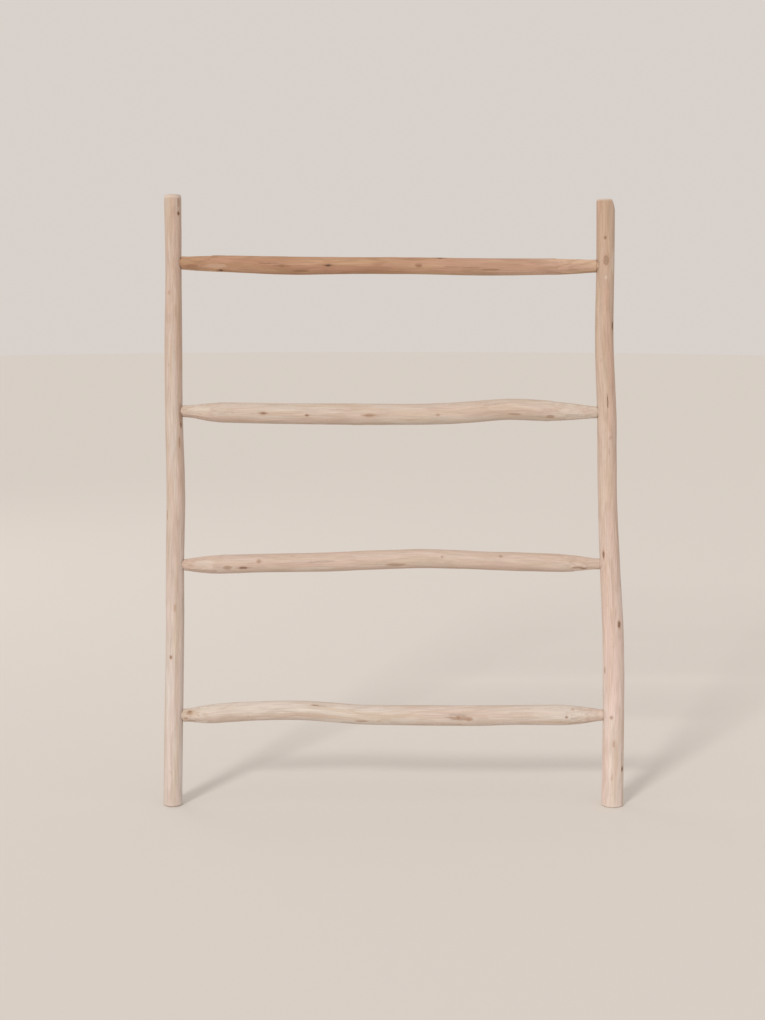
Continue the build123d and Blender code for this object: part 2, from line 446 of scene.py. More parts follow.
class Limb:
    # the centre line and thickness of a CAD limb, and the way from the ladder to places on it
    def __init__(self, node, along, first, second, step=0.006, trim=0.001):
        self.along = along
        self.first = first
        self.second = second
        points = pointsOf(node)
        reached = (points - ladderOrigin) @ along
        self.start, self.end = reached.min(), reached.max()
        vertices = [Vector(p) for p in points]
        faces = [tuple(f.vertices) for f in cadNodes[node].data.polygons]
        tree = BVHTree.FromPolygons(vertices, faces)
        middle = (points - ladderOrigin).mean(0)
        likely = (middle @ first, middle @ second)
        self.places = np.arange(self.start + trim, self.end - trim, step)
        rows = []
        for place in self.places:
            rows.append(self.ringAt(tree, place, likely))
            likely = rows[-1][:2]
        self.rows = np.array(rows).T

    def ringAt(self, tree, place, likely, looks=36, reach=0.12):
        centre = ladderOrigin + self.along * place
        centre = centre + self.first * likely[0] + self.second * likely[1]
        found = []
        for look in range(looks):
            angle = 2 * math.pi * look / looks
            way = self.first * math.cos(angle) + self.second * math.sin(angle)
            hit = tree.ray_cast(Vector(centre + way * reach), Vector(-way), reach)[0]
            if hit is not None:
                offset = np.array(hit) - ladderOrigin
                found.append((offset @ self.first, offset @ self.second))
        return fitCircle(np.array(found), likely)

    def keepBetween(self, low, high):
        # leaves out rings that a shoulder, a cut or a rounding has changed, and runs on past them
        kept = (self.places > low) & (self.places < high)
        self.places, self.rows = self.places[kept], self.rows[:, kept]

    def smooth(self, reach):
        self.rows = np.array([smoothRow(row, reach) for row in self.rows])

    def at(self, place):
        # centre on the first and second side, and radius
        return [np.interp(place, self.places, row) for row in self.rows]

    def shell(self, place, angle, radius):
        first, second, _ = self.at(place)
        first = first + radius * np.cos(angle)
        second = second + radius * np.sin(angle)
        return (ladderOrigin + place[..., None] * self.along
                + first[..., None] * self.first + second[..., None] * self.second)

    def unwrap(self, points):
        offset = points - ladderOrigin
        place = offset @ self.along
        first, second, _ = self.at(place)
        a, b = offset @ self.first - first, offset @ self.second - second
        return place, np.arctan2(b, a), np.hypot(a, b)


def markRing(place, angle, radius, mark):
    # 1 at the edge of a knot, stain or scuff, growing away from it
    sideways = turnFrom(angle, math.radians(mark["angle"])) * radius
    lengthwise = place - mark["place"]
    return np.hypot(lengthwise / (mark["long"] / 2), sideways / (mark["wide"] / 2))


def crackSide(place, angle, radius, crack):
    # signed distance from the middle of the crack, in half widths; 9 past its ends
    lengthwise = (place - crack["place"]) / (crack["long"] / 2)
    curve = math.radians(crack["angle"]) + crack.get("bend", 0) * (lengthwise**2 - 0.5)
    curve = curve + surface["crackWaver"] * np.sin(lengthwise * 7 + crack["angle"])
    halfWidth = crack["wide"] / 2 * np.sqrt(np.clip(1 - lengthwise**2, 0.0001, 1))
    side = turnFrom(angle, curve) * radius / halfWidth
    return np.where(np.abs(lengthwise) < 1, np.clip(side, -9, 9), 9)


def settleMouths(radius, usual, place, angle, mouths):
    # the surface lies true round a joint, a little under its usual size, for a shoulder to meet
    for joint in mouths:
        sideways = turnFrom(angle, joint["angle"]) * usual
        near = np.exp(-(np.hypot(place - joint["place"], sideways) / joint["reach"]) ** 4)
        radius = radius * (1 - near) + (usual - surface["mouthSunk"]) * near
    return radius


def cutFacets(radius, usual, place, angle, facets):
    # planes pared off the round: each has an angle, a depth and where it starts and stops
    insides = []
    for facet in facets:
        soft, stop = facet["soft"], facet.get("stopSoft", facet["soft"])
        inside = ease(place, facet["from"] - soft, facet["from"] + soft)
        insides.append(inside * (1 - ease(place, facet["to"] - stop, facet["to"] + stop)))
    for facet, inside in zip(facets, insides):  # the arrises between the planes stand a little proud
        radius = np.maximum(radius, usual * (1 + facet.get("proud", 0) * inside))
    for facet, inside in zip(facets, insides):
        away = turnFrom(angle, facet["angle"])
        level = usual * (1 - facet["depth"]) + (1 - inside) * surface["facetLift"]
        plane = level / np.maximum(np.cos(away), 0.2)
        radius = np.minimum(radius, np.where(np.abs(away) < 1.2, plane, 1.0))
    return radius


def limbRadius(limb, place, angle, look):
    # the natural, slightly irregular surface: lumps, flats, knots, cracks and fibre ridges
    usual = limb.at(place)[2]
    seed = look["seed"]
    radius = usual
    for number, kind in enumerate(("oval", "lump", "ripple")):
        radius = radius + look[kind] * softNoise(seed + number, place, angle, *surface[kind])
    radius = cutFacets(radius, usual, place, angle, look["facets"])
    radius = radius + look["ridge"] * softNoise(seed + 3, place, angle, *surface["ridge"])
    fineRidge = surface["fineRidgeShare"] * look["ridge"]
    radius = radius + fineRidge * softNoise(seed + 4, place, angle, *surface["fineRidge"])
    radius = settleMouths(radius, usual, place, angle, look["mouths"])
    for knot in look["knots"]:
        ring = markRing(place, angle, usual, knot)
        radius = radius + knot["swell"] * np.exp(-(ring / surface["swellReach"]) ** 2)
        radius = radius - knot["dish"] * (1 - ease(ring, *surface["dishEdge"]))
        groove = np.exp(-((ring - surface["grooveAt"]) / surface["grooveWidth"]) ** 2)
        radius = radius - surface["grooveDepth"] * groove
    for crack in look["cracks"]:
        side = np.abs(crackSide(place, angle, usual, crack))
        radius = radius - crack["deep"] * (1 - ease(side, 0.3, 1.6))
    return radius


def closeRows(rows):
    # rows of points from one end of a closed skin to the other; the ends close on one point each
    rowCount, around = rows.shape[:2]
    points = np.concatenate([
        rows.reshape(-1, 3), rows[0].mean(0, keepdims=True), rows[-1].mean(0, keepdims=True),
    ])
    i, j = np.meshgrid(np.arange(rowCount - 1), np.arange(around), indexing="ij")
    k = (j + 1) % around
    quads = np.stack([i * around + j, i * around + k, (i + 1) * around + k, (i + 1) * around + j], -1)
    j = np.arange(around)
    k = (j + 1) % around
    first, last = rowCount * around, rowCount * around + 1
    base = (rowCount - 1) * around
    caps = [(first, b, a) for a, b in zip(j, k)] + [(last, base + a, base + b) for a, b in zip(j, k)]
    faces = [tuple(quad) for quad in quads.reshape(-1, 4).tolist()]
    faces += [tuple(map(int, cap)) for cap in caps]
    return points, faces


def newPiece(name, points, faces):
    mesh = bpy.data.meshes.new(name)
    mesh.from_pydata(points.tolist(), [], faces)
    mesh.update()
    builder = bmesh.new()
    builder.from_mesh(mesh)
    bmesh.ops.recalc_face_normals(builder, faces=builder.faces)
    builder.to_mesh(mesh)
    builder.free()
    piece = bpy.data.objects.new(name, mesh)
    scene.collection.objects.link(piece)
    return piece


def bore(piece, holes, around):
    # drills round holes: each is an open end, a bottom and a radius
    cutter = bmesh.new()
    for mouth, bottom, radius in holes:
        way = Vector(mouth) - Vector(bottom)
        turn = way.to_track_quat("Z", "Y").to_matrix().to_4x4()
        turn.translation = (Vector(mouth) + Vector(bottom)) / 2
        bmesh.ops.create_cone(cutter, cap_ends=True, segments=around, radius1=radius, radius2=radius,
                              depth=way.length, matrix=turn)
    mesh = bpy.data.meshes.new("drill")
    cutter.to_mesh(mesh)
    cutter.free()
    drill = bpy.data.objects.new("drill", mesh)
    scene.collection.objects.link(drill)
    boring = piece.modifiers.new("boring", "BOOLEAN")
    boring.operation = "DIFFERENCE"
    boring.solver = "MANIFOLD"
    boring.object = drill
    result = bpy.data.meshes.new_from_object(piece.evaluated_get(bpy.context.evaluated_depsgraph_get()))
    piece.modifiers.clear()
    piece.data = result
    result.name = piece.name
    bpy.data.objects.remove(drill)


def storeMarks(mesh, placeInWood, marks):
    # what the wood shader reads at each point
    made = mesh.attributes.new("limbPlace", "FLOAT_VECTOR", "POINT")
    made.data.foreach_set("vector", placeInWood.astype(np.float32).ravel())
    for key, values in marks.items():
        made = mesh.attributes.new(key, "FLOAT", "POINT")
        made.data.foreach_set("value", values.astype(np.float32))
    mesh.polygons.foreach_set("use_smooth", [True] * len(mesh.polygons))


def markSkin(piece, limb, look, ends):
    # works out each point's place in the branch, and the knots, cracks, stains and ends there
    mesh = piece.data
    points = np.empty(len(mesh.vertices) * 3)
    mesh.vertices.foreach_get("co", points)
    points = points.reshape(-1, 3)
    place, angle, distance = limb.unwrap(points)
    usual = limb.at(place)[2]
    swirl = angle.copy()
    ring = np.full(len(points), 9.0)  # 9 is far from any knot
    dark = np.zeros(len(points))
    for knot in look["knots"]:
        near = markRing(place, angle, usual, knot)
        dark = np.where(near < ring, knot["dark"], dark)
        ring = np.minimum(ring, near)
        sideways = turnFrom(angle, math.radians(knot["angle"]))
        swirl = swirl - sideways * 0.55 * np.exp(-(near / 2.0) ** 2)
    side = np.full(len(points), 9.0)
    for crack in look["cracks"]:
        here = crackSide(place, angle, usual, crack)
        side = np.where(np.abs(here) < np.abs(side), here, side)
    stain = np.zeros(len(points))
    tailed = [knot for knot in look["knots"] if knot["tail"]]
    tails = [dict(knot, long=knot["tail"], wide=knot["wide"] * 0.8) for knot in tailed]
    for mark in look["stains"] + tails:
        stain = np.maximum(stain, 1 - ease(markRing(place, angle, usual, mark), 0.3, 1.2))
    for joint in look["mouths"]:  # darker round the joints: painted shade where a rung meets its stile, with some reddish staining there
        away = np.hypot(place - joint["place"], turnFrom(angle, joint["angle"]) * usual)
        stain = np.maximum(stain, 0.5 * (1 - ease(away, joint["reach"] * 0.55, joint["reach"] * 1.3)))
    placeInWood = np.c_[place, distance * np.cos(swirl), distance * np.sin(swirl)]
    endGrain, rimWearAndHighlight = ends(place, points)
    for scuff in look["scuffs"]:
        rimWearAndHighlight = np.maximum(rimWearAndHighlight, 1 - ease(markRing(place, angle, usual, scuff), 0.6, 1.1))
    storeMarks(mesh, placeInWood, {
        "knotRing": ring, "knotDark": dark, "crackSide": side, "stain": stain,
        "endGrain": endGrain, "rimWearAndHighlight": rimWearAndHighlight,
    })
    mesh.set_sharp_from_angle(angle=math.radians(48))


def pegLine(node):
    # middle, length and radius of a peg
    points = pointsOf(node)
    middle = (points.min(0) + points.max(0)) / 2
    reach = (points - middle) @ toWall
    radius = np.abs((points - middle) @ toRight).max()
    return middle, reach.max() - reach.min(), radius


fit = {
    "tenonRoom": 0.00015,      # metres all round, as for the pegs
    "tenonEndRoom": 0.001,
    "pegRoom": 0.00005,
    "pegEndRoom": 0.0005,
    "drillPast": 0.08,         # how far the drills start from a tenon's tip and a peg's middle
    "pegDrillPast": 0.06,
    "mortiseMouth": 0.022,     # the true patch of surface round each kind of hole
    "pegMouth": 0.01,
}
rungNames = ["bottom_rung", "lower_rung", "upper_rung", "top_rung"]


def pegHoles(names):
    holes = []
    for name in names:
        middle, length, radius = pegLine(name)
        bottom = middle - toWall * (length / 2 + fit["pegEndRoom"])
        holes.append((middle + toWall * fit["pegDrillPast"], bottom, radius + fit["pegRoom"]))
    return holes


trust = {
    "tenonAt": 0.01,           # metres from a rung's tip to where its tenon is measured
    "wider": 0.0004,           # how much wider than the tenon the wood is past a shoulder
    "pastShoulder": 0.0015,    # from here on, and as far as the next two say, rings are unchanged
    "aboveFoot": 0.012,
    "belowTip": 0.008,
}


def rungLimb(node):
    # a rung's centre line between its shoulders, with its tenons noted
    limb = Limb(node, toRight, upStile, toRoom)
    limb.tenon = limb.at(limb.start + trust["tenonAt"])[2]
    place, _, distance = limb.unwrap(pointsOf(node))
    neck = place[distance > limb.tenon + trust["wider"]]
    limb.shoulders = neck.min(), neck.max()
    limb.keepBetween(neck.min() + trust["pastShoulder"], neck.max() - trust["pastShoulder"])
    limb.smooth(1)
    return limb


def stileLimb(node):
    limb = Limb(node, upStile, toRight, toRoom)
    limb.keepBetween(limb.start + trust["aboveFoot"], limb.end - trust["belowTip"])
    limb.smooth(2)
    return limb


limbs = {name: rungLimb(name) for name in rungNames}
stiles = {"left": stileLimb("left_stile"), "right": stileLimb("right_stile")}
report("centre lines")


def tenonOf(rungName, side):
    # how far up its stile a tenon enters, the middle of its tip, and its radius
    limb = limbs[rungName]
    tip = limb.start if side == "left" else limb.end
    height, second, _ = limb.at(tip)
    centre = ladderOrigin + toRight * tip + upStile * height + toRoom * second
    return height, centre, float(limb.tenon)


def whittled(seed, limb, side, count, length):
    # facets pared towards the end of a rung, each running out at its own place
    random = np.random.default_rng(seed)
    facets = []
    for number in range(count):
        reach = length * random.uniform(0.6, 1.1)
        angle = 2 * math.pi * (number + random.uniform(-0.2, 0.2)) / count
        depth = surface["facetDepth"] * random.uniform(0.35, 1.0)
        facet = {"angle": angle, "depth": depth, "soft": 0.012, "proud": 0.025}
        if side == "left":
            facet.update({"from": limb.start - 0.1, "to": limb.shoulders[0] + reach})
        else:
            facet.update({"from": limb.shoulders[1] - reach, "to": limb.end + 0.1})
        facets.append(facet)
    return facets


def knot(place, angle, long, wide, dark=0.6, swell=0.0006, dish=0.0003, tail=0):
    # millimetres long and wide, and the length of its dark tail along the grain; swell and dish in metres
    return {"place": place, "angle": angle, "long": long / 1000, "wide": wide / 1000, "dark": dark,
            "swell": swell, "dish": dish, "tail": tail / 1000}


def crack(place, angle, long, wide=1.2, deep=0.0012, bend=0.0):
    # millimetres long and wide, metres deep, and how far it curves round the limb
    return {"place": place, "angle": angle, "long": long / 1000, "wide": wide / 1000, "deep": deep,
            "bend": bend}


def stain(place, angle, long, wide):
    # a darker patch, millimetres long and wide: weathering, and beside one joint partly painted shade
    return {"place": place, "angle": angle, "long": long / 1000, "wide": wide / 1000}


scuff = stain  # the same kind of patch, rubbed pale instead of stained


def spareKnots(seed, count, start, end):
    # small knots at random places, besides the listed ones
    random = np.random.default_rng(seed)
    return [
        knot(random.uniform(start, end), random.uniform(*spare["arc"]), random.uniform(6, 15),
             random.uniform(5, 9), random.uniform(0.0, 0.6), random.uniform(0.0002, 0.0009))
        for _ in range(count)
    ]


# Places along a rung are metres right of the ladder's middle; whittle is how far in its left and
# right ends are pared.
rungLooks = {
    "bottom_rung": {
        "seed": 110, "oval": 0.0007, "lump": 0.0005, "ripple": 0.00022, "ridge": 0.00013,
        "facetCount": (8, 9), "whittle": (0.085, 0.11),
        "knots": [
            knot(0.160, 96, 8, 6, 0.2, 0.0006, tail=30), knot(0.186, 108, 9, 6, 0.0, 0.0005, tail=34),
            knot(0.428, 99, 6, 5, 0.4, 0.0002, 0.0006), knot(0.443, 50, 6, 5, 0.0),
            knot(-0.505, 58, 9, 8, 0.28, 0.0003, tail=18),
        ],
        "cracks": [crack(-0.105, 150, 45, 1.4, 0.0012, 0.1), crack(-0.185, 52, 36, 0.9, 0.0005),
                   crack(0.158, 84, 42, 1.2, 0.0006, 0.06), crack(0.135, 96, 22, 1.0, 0.0005)],
        "stains": [stain(-0.505, 70, 24, 11), stain(-0.515, 115, 16, 10), stain(-0.50, 140, 40, 7),
                   stain(0.165, 100, 88, 14), stain(-0.195, 48, 34, 6), stain(-0.08, 128, 50, 8)],
        "scuffs": [scuff(-0.46, 60, 70, 16)],
    },
    "lower_rung": {
        "seed": 210, "oval": 0.0007, "lump": 0.0006, "ripple": 0.00022, "ridge": 0.00013,
        "facetCount": (7, 8), "whittle": (0.10, 0.10),
        "knots": [
            knot(-0.372, 116, 20, 6, 0.55, 0.0008, 0.0006, tail=64),
            knot(-0.333, 77, 9, 8, 0.15, 0.0008, 0.0005),
            knot(0.265, 58, 7, 5, 0.2), knot(0.12, 75, 5, 4, 0.2),
        ],
        "cracks": [crack(0.472, 138, 17, 2.6, 0.0016), crack(-0.18, 88, 70, 0.8, 0.0005)],
        "stains": [stain(-0.411, 112, 32, 18), stain(0.005, 125, 70, 14), stain(0.455, 122, 44, 10),
                   stain(0.472, 136, 26, 8)],
        "scuffs": [scuff(-0.47, 80, 60, 18), scuff(-0.2, 128, 120, 10)],
    },
    "upper_rung": {
        "seed": 310, "oval": 0.0008, "lump": 0.0006, "ripple": 0.00025, "ridge": 0.00013,
        "facetCount": (7, 8), "whittle": (0.11, 0.12),
        "knots": [
            knot(-0.323, 92, 14, 6, 0.4, 0.0007, 0.0006, tail=40), knot(-0.215, 101, 7, 5, 0.4, tail=22),
            knot(-0.06, 99, 21, 6, 0.12, 0.0005, tail=60), knot(0.11, 99, 8, 5, 0.05),
        ],
        "cracks": [crack(-0.12, 70, 80, 0.8, 0.0005), crack(0.25, 60, 55, 0.9, 0.0006)],
        "stains": [stain(0.388, 126, 30, 13), stain(0.30, 120, 50, 7)],
        "scuffs": [scuff(-0.48, 75, 60, 20), scuff(0.44, 90, 70, 18)],
    },
    "top_rung": {
        "seed": 410, "oval": 0.0006, "lump": 0.0006, "ripple": 0.00025, "ridge": 0.00015,
        "facetCount": (7, 8), "whittle": (0.10, 0.11),
        "stopCuts": [{"angle": 2.02, "depth": 0.085, "from": -0.485, "to": -0.415, "soft": 0.012,
                      "stopSoft": 0.0016}],  # a stopped cut, with a step at its inner end
        "knots": [
            knot(-0.277, 99, 13, 7, 0.15, 0.0007, tail=70),
            knot(-0.162, 95, 17, 6, 0.9, 0.0006, 0.0006, tail=46),
            knot(0.062, 95, 12, 8, 0.1, 0.0004, tail=24), knot(0.115, 24, 20, 7, 0.8, 0.0006, tail=44),
            knot(-0.428, 150, 13, 6, 1.0, 0.0002, 0.0008, tail=26),
        ],
        "cracks": [crack(-0.31, 86, 50, 1.0, 0.0008), crack(0.17, 100, 90, 0.8, 0.0005)],
        "stains": [stain(0.24, 115, 70, 9), stain(-0.23, 132, 60, 9), stain(-0.50, 118, 50, 10)],
        "scuffs": [scuff(-0.441, 114, 60, 13), scuff(-0.425, 110, 24, 10)],
    },
}
fine = {
    "rowStep": 0.0024,         # metres between the rings of a skin
    "around": 144,             # points round each ring
    "rimRows": 6,              # rings over a rounded edge
    "capRows": 12,             # rings across a sawn end
    "tenonRows": 14,
    "tenonCapRows": 3,
    "tenonRounding": 0.0015,
    "shoulderSteps": (0, 0.0002, 0.0005, 0.0009, 0.0014),  # rings close together over a shoulder's edge
    "shoulderPast": 0.003,     # where the even rings begin
    "shoulderRounding": 0.0007,
    "neckRound": 0.022,        # how far from a shoulder the neck is true and round
    "mortiseSides": 96,
    "pegHoleSides": (32, 40),  # in a tenon and in a stile
}
spare = {
    "rungKnots": 4,
    "rungReach": 0.4,          # metres either side of the middle
    "stileKnots": 6,
    "stileReach": (0.1, 1.42),
    "arc": (200, 340),         # degrees round the limb, on the sides away from the room
}
evenWood = dict(paleWood, ageShadeEnd=(1, 1, 1, 1))  # no browner at one end
woods = {
    "bottom_rung": dict(evenWood, shift=3.0, pale=(0.69, 0.615, 0.55, 1), rosy=(0.66, 0.54, 0.47, 1)),
    "lower_rung": dict(evenWood, shift=9.0, pale=(0.65, 0.53, 0.455, 1), rosy=(0.63, 0.475, 0.40, 1)),
    "upper_rung": dict(evenWood, shift=15.0, pale=(0.65, 0.56, 0.485, 1), rosy=(0.635, 0.50, 0.425, 1)),
    "top_rung": brownWood,
    # the stiles darken and brown towards the tip: partly painted shade for light that weakens with height,
    # partly browner wood
    "left_stile": dict(
        paleWood, shift=21.0, pale=(0.675, 0.60, 0.55, 1), rosy=(0.655, 0.53, 0.465, 1),
        ageShadeStart=(1.02, 1.06, 1.10, 1), ageShadeEnd=(0.905, 0.825, 0.765, 1),
    ),
    "right_stile": dict(
        paleWood, shift=27.0, pale=(0.75, 0.645, 0.595, 1), rosy=(0.74, 0.585, 0.53, 1),
        sallow=(0.69, 0.585, 0.48, 1), tan=(0.62, 0.47, 0.37, 1), ageShadeEnd=(0.76, 0.665, 0.56, 1),
    ),
}
slots = {name: "rung_wood" for name in rungNames}
slots.update(top_rung="top_rung_wood", left_stile="stile_wood", right_stile="stile_wood")


def finishLimb(piece, name):
    # its own wood, and its place in the model
    piece.data.materials.clear()
    piece.data.materials.append(branchWood(name + "Wood", woods[name]))
    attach(piece, "root")
    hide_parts(name)
    report(f"{name}: {len(piece.data.polygons)} faces")


def anglesRound(count):
    return np.linspace(0, 2 * math.pi, count, endpoint=False)


def roundedEnd(rim, outward, rounding, capRows):
    # rows from a limb's last ring over its rounded edge to near the middle of its sawn end
    centre = rim.mean(0)
    size = np.linalg.norm(rim - centre, axis=1).mean()
    rows = []
    for number in range(1, fine["rimRows"] + 1):
        turn = number / fine["rimRows"] * math.pi / 2
        inward = 1 - rounding * (1 - math.cos(turn)) / size
        rows.append(centre + (rim - centre) * inward + outward * rounding * math.sin(turn))
    face = rows[-1]
    centre = face.mean(0)
    rows += [centre + (face - centre) * number / (capRows + 1) for number in range(capRows, 0, -1)]
    return rows


def makeRung(name):
    limb = limbs[name]
    look = rungLooks[name]
    seed = look["seed"]
    look["facets"] = []
    ends = zip(("left", "right"), (seed, seed + 5), look["facetCount"], look["whittle"])
    for side, sideSeed, count, length in ends:
        look["facets"] += whittled(sideSeed, limb, side, count, length)
    look["facets"] += look.get("stopCuts", [])
    look["knots"] += spareKnots(seed + 7, spare["rungKnots"], -spare["rungReach"], spare["rungReach"])
    look["mouths"] = []

    low, high = limb.shoulders
    edge = np.array(fine["shoulderSteps"])
    trim, past = fine["tenonRounding"], fine["shoulderPast"]
    places = np.concatenate([
        np.linspace(limb.start + trim, low - edge[1], fine["tenonRows"]),
        low + edge,
        np.linspace(low + past, high - past, int((high - low) / fine["rowStep"])),
        high - edge[::-1],
        np.linspace(high + edge[1], limb.end - trim, fine["tenonRows"]),
    ])
    angles = anglesRound(fine["around"])
    place, angle = np.meshgrid(places, angles, indexing="ij")
    reach = np.minimum(place - low, high - place)  # from the shoulder; the tenons are below nought
    usual = limb.at(place)[2]
    body = limbRadius(limb, place, angle, look)
    fading = 1 - ease(reach, 0.0, fine["neckRound"])
    body = body * (1 - fading) + usual * fading
    body = body - fine["shoulderRounding"] * (1 - ease(reach, 0, edge[-1]))
    skin = limb.shell(place, angle, np.where(reach < 0, limb.tenon, body))
    leftEnd = roundedEnd(skin[0], -toRight, trim, fine["tenonCapRows"])
    rightEnd = roundedEnd(skin[-1], toRight, trim, fine["tenonCapRows"])
    points, faces = closeRows(np.array(leftEnd[::-1] + [*skin] + rightEnd))
    piece = newPiece(name + "_limb", points, faces)
    bore(piece, pegHoles([f"{name}_left_peg", f"{name}_right_peg"]), fine["pegHoleSides"][0])

    def tips(place, points):
        fromTip = np.minimum(place - limb.start, limb.end - place)
        return 1 - ease(fromTip, 0.0012, 0.003), np.zeros(len(place))

    markSkin(piece, limb, look, tips)
    finishLimb(piece, name)


for rungName in rungNames:
    makeRung(rungName)


# Places up a stile are metres from the line of the feet. A flat is where it starts and ends, its
# angle and the share of the radius that it takes off.
stileLooks = {
    "left": {
        "seed": 510, "oval": 0.0006, "lump": 0.0006, "ripple": 0.0002, "ridge": 0.00011,
        "tipRounding": 0.0022, "tipBevel": (0.009, 0.0014), "footRounding": 0.0055,
        "flats": [(0.35, 0.75, 60, 0.03), (0.9, 1.25, 110, 0.03), (0.1, 0.4, 200, 0.03),
                  (1.0, 1.4, 300, 0.035), (0.5, 0.9, 250, 0.03)],
        "knots": [
            knot(1.467, 44, 9, 7, 0.75, 0.0003, 0.0012, tail=24), knot(1.271, 117, 8, 5, 0.0),
            knot(0.491, 84, 13, 4, 0.0), knot(0.368, 110, 8, 6, 0.35, 0.0004, 0.0005, tail=16),
            knot(0.944, 34, 13, 6, 0.5, 0.0003),
        ],
        "cracks": [crack(1.489, 50, 30, 0.9, 0.0008), crack(1.495, 250, 38, 1.3, 0.002),
                   crack(0.02, 215, 45, 1.2, 0.0015)],
        # the first stain darkens the stile's right side beside the upper rung's joint: partly painted shade
        # from the rung, partly a dark mark in the wood
        "stains": [stain(0.965, 36, 84, 16), stain(0.90, 52, 44, 6), stain(0.72, 150, 40, 8),
                   stain(0.2, 330, 90, 14), stain(1.495, 40, 40, 7)],
        "scuffs": [],
    },
    "right": {
        "seed": 610, "oval": 0.0007, "lump": 0.0006, "ripple": 0.0002, "ridge": 0.00011,
        "tipRounding": 0.0025, "tipBevel": (0.004, 0.001), "footRounding": 0.003,
        # where the wear starts outward of the middle, how wide and deep it is, and how far down it fades
        "wornCorner": {"inset": 0.0125, "width": 0.0095, "depth": 0.022, "length": 0.034},
        "flats": [(0.45, 0.8, 80, 0.03), (0.9, 1.15, 40, 0.03), (0.15, 0.5, 130, 0.025),
                  (0.9, 1.3, 220, 0.035), (0.3, 0.8, 290, 0.03)],
        "knots": [
            knot(1.4075, 97, 8, 7, 0.3, 0.0002, 0.0004, tail=12),
            knot(1.351, 91, 24, 12, 0.3, 0.0012, 0.0005), knot(1.190, 32, 20, 6, 0.7, 0.0003, 0.0008),
            knot(0.622, 131, 15, 6, 0.5, 0.0008, 0.0005, tail=50),
            knot(0.449, 57, 14, 8, 0.55, 0.0005, 0.0005, tail=24), knot(0.219, 106, 7, 6, 0.25, 0.0003),
            knot(0.1535, 92, 12, 4, 0.0), knot(0.091, 36, 11, 6, 0.85, 0.0004, 0.001, tail=24),
        ],
        "cracks": [crack(1.003, 88, 36, 1.5, 0.0009, 0.08), crack(0.118, 42, 34, 0.9, 0.0006),
                   crack(1.480, 262, 34, 1.4, 0.002), crack(0.015, 240, 50, 1.2, 0.0015)],
        "stains": [stain(1.0, 88, 46, 6), stain(0.335, 150, 30, 8), stain(1.2, 200, 80, 12),
                   stain(0.7, 320, 70, 12), stain(1.19, 20, 50, 6)],
        "scuffs": [scuff(1.35, 40, 70, 12), scuff(1.309, 91, 10, 8)],
    },
}
lean = math.atan2(upStile[1], upStile[2])
tipping = {
    "footReach": 0.09,         # metres over which the rings turn level with the floor
    "sawMarks": 0.00022,
    "wearRough": 0.07,         # share by which the worn corner is uneven
}


def cornerDrop(look, across):
    # how far the sawn tip has worn down at its outer corner
    corner = look.get("wornCorner")
    if not corner:
        return across * 0
    share = np.clip((across - corner["inset"]) / corner["width"], 0, 1.15)
    return corner["depth"] * share**1.9


